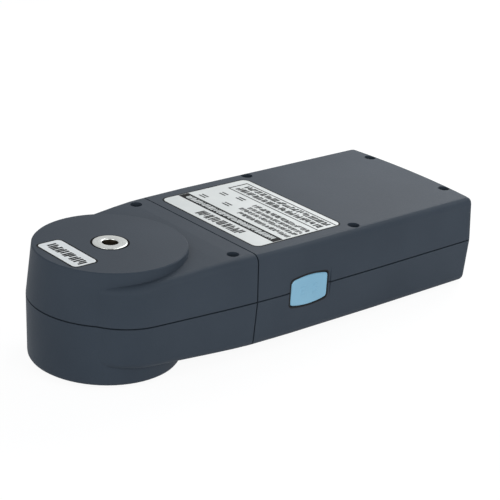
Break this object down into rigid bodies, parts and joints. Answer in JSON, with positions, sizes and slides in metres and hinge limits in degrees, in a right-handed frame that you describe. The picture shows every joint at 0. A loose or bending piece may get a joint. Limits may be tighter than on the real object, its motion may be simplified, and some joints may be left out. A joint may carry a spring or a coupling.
{
  "type": "colorimeter",
  "caption": "Handheld colorimeter with a round measuring head, an aperture ring, a side measure button and a display side.",
  "frame": {"origin": "on the measuring axis, at the flat foot under the measuring head, on the surface the instrument lies on", "axes": "+X along the handle to the far end, +Z out of the label side, along the measuring axis, +Y away from the measure button"},
  "size_m": [0.2085, 0.0822, 0.0486],
  "materials": {
    "casing": "fine texture",
    "button": "satin",
    "key": "satin",
    "ring": "turned",
    "screw": "zinc plated",
    "label": "printed film",
    "window": "clear",
    "lens": "clear",
    "white_optics": "diffuse white",
    "black_optics": "dull black",
    "bracket": "plain",
    "board": "solder mask",
    "electronic": "moulded",
    "display": "glass faced",
    "silicone": "moulded",
    "foam": "closed cell",
    "battery": "shrink film",
    "plug": "moulded",
    "cable": "film"
  },
  "bodies": {
    "casing": {"head_label_shell": "casing", "head_display_shell": "casing", "body_label_shell": "casing", "body_display_shell": "casing", "aperture_ring": "ring", "usb_socket": "ring", "head_screw_1": "screw", "head_screw_2": "screw", "body_screw_1": "screw", "body_screw_2": "screw", "body_screw_3": "screw", "body_screw_4": "screw", "board_screw_1": "screw", "board_screw_2": "screw", "board_screw_3": "screw", "board_screw_4": "screw", "dome_screw_1": "screw", "dome_screw_2": "screw", "dome_screw_3": "screw", "bracket_screw_1": "screw", "bracket_screw_2": "screw", "bracket_screw_3": "screw", "bracket_screw_4": "screw", "sensor_screw_1": "screw", "sensor_screw_2": "screw", "rating_label": "label", "serial_label": "label", "display_window": "window", "receiver_lens": "lens", "diffuser_dome": "white_optics", "led_1": "white_optics", "led_2": "white_optics", "led_3": "white_optics", "led_4": "white_optics", "sensor_tube": "black_optics", "optics_bracket": "bracket", "main_board": "board", "switch_board": "board", "sensor_board": "board", "led_board": "board", "tact_switch": "electronic", "processor": "electronic", "buzzer": "electronic", "sensor_chip": "electronic", "battery_lead": "electronic", "lcd_module": "display", "keypad_mat": "silicone", "battery_foam": "foam", "battery_pack": "battery", "battery_plug": "plug", "sensor_cable": "cable", "led_cable": "cable"},
    "measure_button_body": {"measure_button": "button"},
    "key_up_body": {"key_up": "key"},
    "key_down_body": {"key_down": "key"},
    "key_enter_body": {"key_enter": "key"},
    "key_menu_body": {"key_menu": "key"},
    "key_power_body": {"key_power": "key"}
  },
  "joints": [
    {"name": "measure_button_press", "type": "slide", "parent": "casing", "child": "measure_button_body", "axis": [0, 1, 0], "range_m": [0, 0.0008], "stiffness_N_per_m": 1500},
    {"name": "key_up_press", "type": "slide", "parent": "casing", "child": "key_up_body", "axis": [0, 0, 1], "range_m": [0, 0.0005], "stiffness_N_per_m": 1500},
    {"name": "key_down_press", "type": "slide", "parent": "casing", "child": "key_down_body", "axis": [0, 0, 1], "range_m": [0, 0.0005], "stiffness_N_per_m": 1500},
    {"name": "key_enter_press", "type": "slide", "parent": "casing", "child": "key_enter_body", "axis": [0, 0, 1], "range_m": [0, 0.0005], "stiffness_N_per_m": 1500},
    {"name": "key_menu_press", "type": "slide", "parent": "casing", "child": "key_menu_body", "axis": [0, 0, 1], "range_m": [0, 0.0005], "stiffness_N_per_m": 1500},
    {"name": "key_power_press", "type": "slide", "parent": "casing", "child": "key_power_body", "axis": [0, 0, 1], "range_m": [0, 0.0005], "stiffness_N_per_m": 1500}
  ]
}
